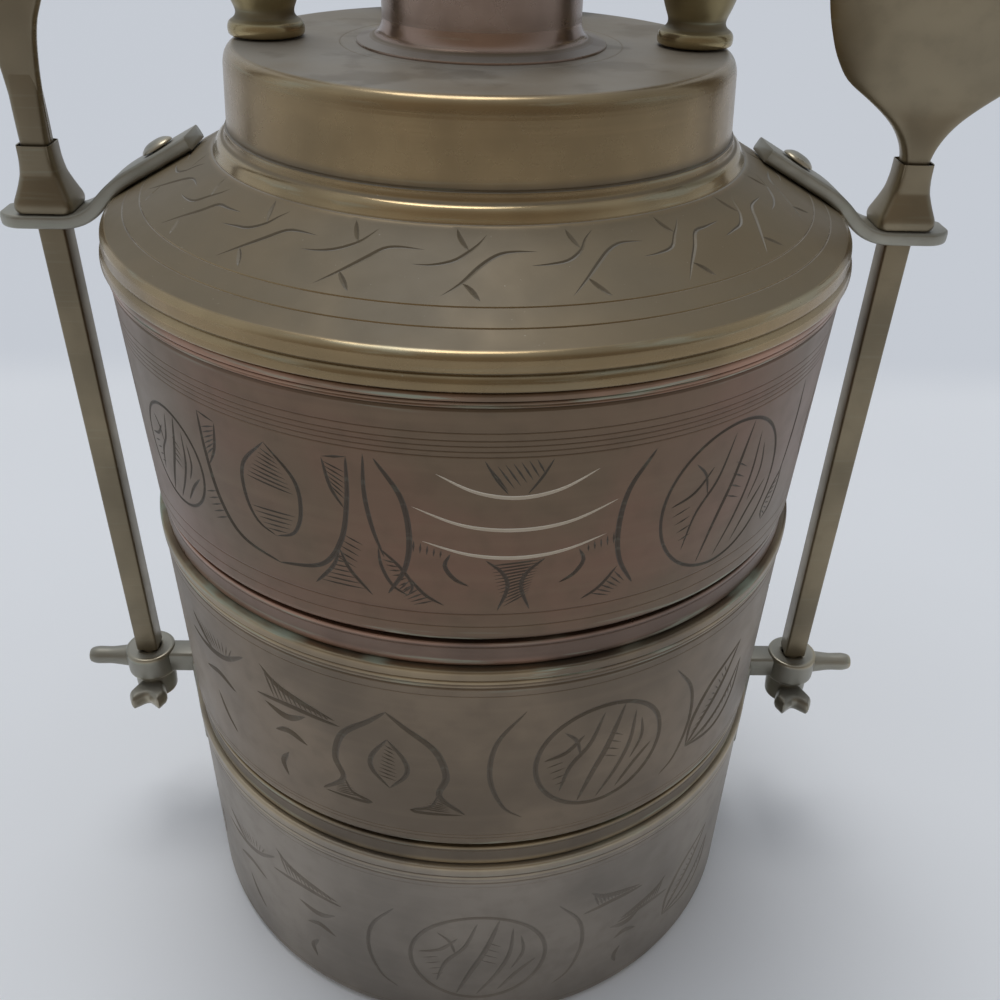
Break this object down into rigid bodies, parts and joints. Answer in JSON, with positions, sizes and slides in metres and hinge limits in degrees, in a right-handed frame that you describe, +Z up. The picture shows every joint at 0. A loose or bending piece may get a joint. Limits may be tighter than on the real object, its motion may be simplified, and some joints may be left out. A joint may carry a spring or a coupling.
{
  "type": "tiffin carrier",
  "caption": "Stacked round metal food carrier: nesting bowls under a shouldered lid with a small pot and a bail, locked by a spoon and a fork whose long handles pass through side eyes.",
  "frame": {"origin": "centre of the flat underside of the bottom bowl, on the surface that the carrier stands on", "axes": "+Z up along the axis of the stack, +X towards the spoon, -Y towards the front"},
  "size_m": [0.2202, 0.1522, 0.2676],
  "materials": {
    "bottom_bowl_brass": "aged engraved brass, hazy grey-olive patina",
    "middle_bowl_brass": "aged engraved brass, olive-brown patina",
    "top_bowl_bronze": "aged engraved copper alloy, warm brown patina",
    "copper": "turned copper, worn bright at its edges",
    "dark_brass": "brass darkened in the joints",
    "lid_brass": "spun brass, dusty golden-brown patina",
    "fitting_brass": "turned brass, handled",
    "strap_brass": "cast and filed brass, dull olive",
    "cutlery_brass": "forged brass, rubbed"
  },
  "bodies": {
    "base": {"bottom_bowl": "bottom_bowl_brass", "lug_left": "strap_brass", "lug_right": "strap_brass", "lug_rivet_1_left": "fitting_brass", "lug_rivet_2_left": "fitting_brass", "lug_rivet_1_right": "fitting_brass", "lug_rivet_2_right": "fitting_brass"},
    "middle_tier": {"middle_bowl": "middle_bowl_brass", "middle_foot_ring": "dark_brass"},
    "top_tier": {"top_bowl": "top_bowl_bronze", "top_foot_ring": "copper"},
    "lid": {"lid_shoulder": "lid_brass", "lid_neck": "lid_brass", "lid_spigot": "dark_brass", "pot": "copper", "post_left": "fitting_brass", "post_right": "fitting_brass", "post_nut_left": "dark_brass", "post_nut_right": "dark_brass", "bail_pin_left": "fitting_brass", "bail_pin_right": "fitting_brass", "strap_left": "strap_brass", "strap_right": "strap_brass", "strap_rivet_left": "fitting_brass", "strap_rivet_right": "fitting_brass"},
    "cap": {"pot_cap": "copper", "cap_knob": "fitting_brass"},
    "bail": {"bail": "fitting_brass", "bail_grip": "fitting_brass"},
    "spoon": {"spoon": "cutlery_brass", "collar_right": "cutlery_brass"},
    "fork": {"fork": "cutlery_brass", "collar_left": "cutlery_brass"},
    "wing_nut_left": {"wing_nut_left": "strap_brass"},
    "wing_nut_right": {"wing_nut_right": "strap_brass"}
  },
  "joints": [
    {"name": "middle_tier_lift", "type": "slide", "parent": "base", "child": "middle_tier", "axis": [0, 0, 1], "range_m": [0, 0.06]},
    {"name": "top_tier_lift", "type": "slide", "parent": "middle_tier", "child": "top_tier", "axis": [0, 0, 1], "range_m": [0, 0.06]},
    {"name": "lid_lift", "type": "slide", "parent": "top_tier", "child": "lid", "axis": [0, 0, 1], "range_m": [0, 0.06]},
    {"name": "cap_lift", "type": "slide", "parent": "lid", "child": "cap", "axis": [0, 0, 1], "range_m": [0, 0.018]},
    {"name": "bail_swing", "type": "hinge", "parent": "lid", "child": "bail", "pos_m": [0, 0, 0.2431], "axis": [1, 0, 0], "range_deg": [0, 240.5]},
    {"name": "spoon_lift", "type": "slide", "parent": "lid", "child": "spoon", "axis": [0, 0, 1], "range_m": [0, 0.145]},
    {"name": "fork_lift", "type": "slide", "parent": "lid", "child": "fork", "axis": [0, 0, 1], "range_m": [0, 0.145]},
    {"name": "wing_nut_left_turn", "type": "hinge", "parent": "base", "child": "wing_nut_left", "pos_m": [-0.08934, 0, 0.045], "axis": [0, 0, 1], "continuous": true},
    {"name": "wing_nut_right_turn", "type": "hinge", "parent": "base", "child": "wing_nut_right", "pos_m": [0.08934, 0, 0.045], "axis": [0, 0, 1], "continuous": true}
  ]
}
